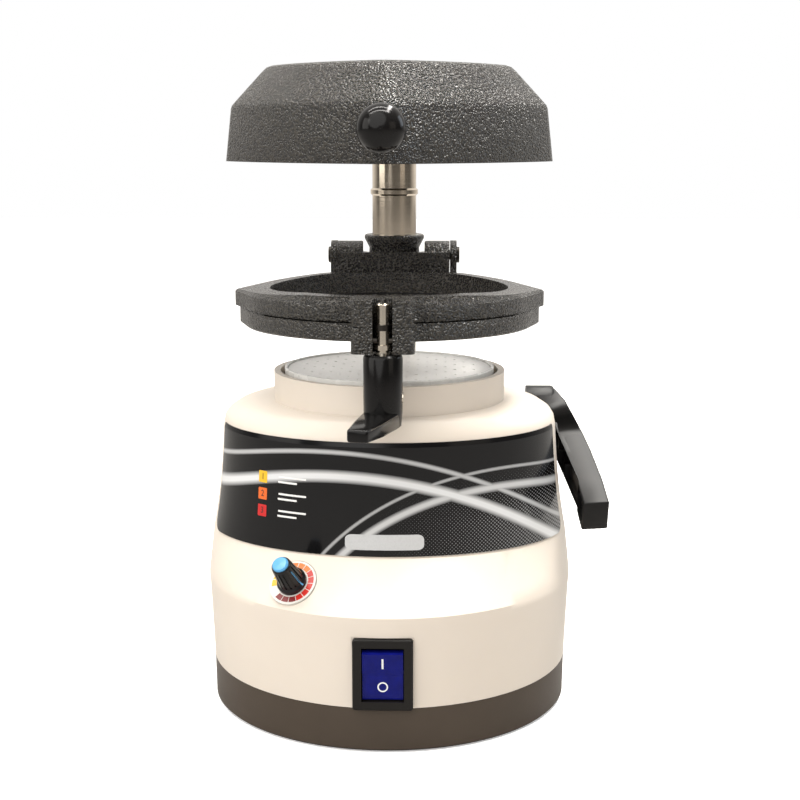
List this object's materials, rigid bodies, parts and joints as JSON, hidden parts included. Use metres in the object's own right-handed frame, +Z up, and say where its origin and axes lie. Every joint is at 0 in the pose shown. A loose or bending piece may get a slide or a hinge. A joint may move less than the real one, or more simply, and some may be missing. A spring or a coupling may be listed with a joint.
{
  "type": "dental vacuum former",
  "caption": "Bench vacuum former that heats a plastic sheet in a sliding hinged frame under a swinging heater and draws it down over a dental model on a perforated platform.",
  "frame": {"origin": "on the table, under the centre of the forming platform, in the underside of the pad", "axes": "+Z up along the round platform's axis, -Y towards the operator, +X to the operator's right"},
  "size_m": [0.1828, 0.2025, 0.289],
  "materials": {
    "black_gloss": "gloss",
    "black_plastic": "satin",
    "board_green": "board",
    "brass": "turned",
    "cap_blue": "gloss",
    "cast_alu": "as cast",
    "ceramic": "ceramic",
    "dark_steel": "blackened",
    "dial_print": "printed colours",
    "element": "oxidised sheath",
    "hammer_paint": "hammertone, dark bronze grey",
    "label_gloss": "gloss, printed",
    "platform_alu": "satin",
    "post_steel": "polished",
    "reflector_alu": "bright",
    "ring_clear": "translucent",
    "rocker_blue": "translucent blue",
    "rubber": "matt",
    "shell_plastic": "satin, off-white",
    "steel": "bright",
    "tray_plastic": "satin, warm dark grey"
  },
  "bodies": {
    "base": {"base_tray": "tray_plastic", "rubber_pad": "rubber", "base_screws": "steel", "shell": "shell_plastic", "label_band": "label_gloss", "platform": "platform_alu", "platform_ring": "ring_clear", "vacuum_chamber": "cast_alu", "chamber_screws": "steel", "valve_housing": "black_plastic", "valve_gasket": "rubber", "fan_housing": "black_plastic", "fan_impeller": "cast_alu", "fan_motor": "dark_steel", "motor_ring": "rubber", "control_board": "board_green", "transformer": "dark_steel", "potentiometer": "steel", "dial_plate": "dial_print", "switch_housing": "black_plastic", "power_inlet": "black_plastic", "post": "post_steel", "post_bushes": "cast_alu", "post_bolt": "steel", "post_ring": "post_steel", "lever_bush": "brass"},
    "carriage": {"frame_lower": "hammer_paint", "frame_seal": "rubber", "hinge_pins": "steel", "clamp_rod": "steel", "rod_pin": "steel", "rod_nut": "steel"},
    "upper_frame": {"frame_upper": "hammer_paint"},
    "clamp": {"clamp_lever": "black_gloss", "clamp_button": "steel"},
    "cover": {"heater_cover": "hammer_paint", "post_upper": "post_steel", "post_spigot": "steel", "reflector": "reflector_alu", "heating_element": "element", "insulators": "ceramic", "terminal_block": "ceramic", "cover_screws": "steel", "ball_knob": "black_gloss", "knob_stud": "steel", "stud_nut": "steel"},
    "side_lever": {"side_lever": "black_gloss", "lever_shaft": "steel", "lever_screw": "steel", "valve_flap": "cast_alu"},
    "dial": {"pot_shaft": "steel", "control_knob": "black_plastic", "knob_cap": "cap_blue"},
    "rocker": {"rocker_paddle": "rocker_blue"}
  },
  "joints": [
    {"name": "carriage_slide", "type": "slide", "parent": "base", "child": "carriage", "axis": [0, 0, 1], "range_m": [-0.0268, 0]},
    {"name": "frame_hinge", "type": "hinge", "parent": "carriage", "child": "upper_frame", "pos_m": [0, 0.07, 0.1995], "axis": [1, 0, 0], "range_deg": [-20, 0]},
    {"name": "clamp_turn", "type": "hinge", "parent": "carriage", "child": "clamp", "pos_m": [0, -0.074, 0.16], "axis": [0, 0, 1], "range_deg": [-80, 80]},
    {"name": "cover_swing", "type": "hinge", "parent": "base", "child": "cover", "pos_m": [0, 0.074, 0.25], "axis": [0, 0, 1], "range_deg": [-90, 90]},
    {"name": "valve_lever", "type": "hinge", "parent": "base", "child": "side_lever", "pos_m": [0.07, 0.04, 0.1282], "axis": [1, 0, 0], "range_deg": [-80, 0]},
    {"name": "dial_turn", "type": "hinge", "parent": "base", "child": "dial", "pos_m": [-0.0392, -0.0654, 0.0697], "axis": [-0.2701, -0.6502, 0.7102], "range_deg": [-90, 210]},
    {"name": "rocker_tilt", "type": "hinge", "parent": "base", "child": "rocker", "pos_m": [0, -0.0796, 0.0355], "axis": [1, 0, 0], "range_deg": [-18, 0]}
  ]
}
